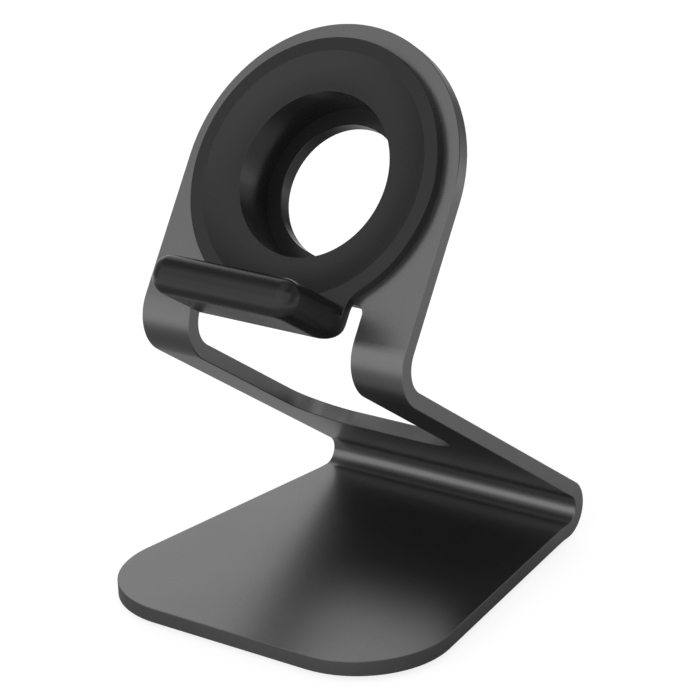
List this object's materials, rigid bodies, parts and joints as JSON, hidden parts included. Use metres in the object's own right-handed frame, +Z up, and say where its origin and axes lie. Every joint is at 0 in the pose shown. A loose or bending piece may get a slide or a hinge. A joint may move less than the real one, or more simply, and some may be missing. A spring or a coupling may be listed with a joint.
{
  "type": "watch charging stand",
  "caption": "Folded dark aluminium desk stand with a leaning round head, a black silicone ring that holds a round watch-charging puck, and a soft ledge below the ring.",
  "frame": {"origin": "on the surface the stand rests on, under the middle of the stand's box", "axes": "+Z up, the stand faces -Y, +X to the right seen from the front"},
  "size_m": [0.0652, 0.071, 0.0973],
  "materials": {
    "anodised_aluminium": "satin, fine bead-blasted and anodised dark grey",
    "silicone": "matte, soft black silicone",
    "foot_rubber": "matte black rubber"
  },
  "bodies": {
    "root": {"stand_frame": "anodised_aluminium", "charger_holder": "silicone", "foot_front_left": "foot_rubber", "foot_front_right": "foot_rubber", "foot_rear_left": "foot_rubber", "foot_rear_right": "foot_rubber"}
  },
  "joints": []
}
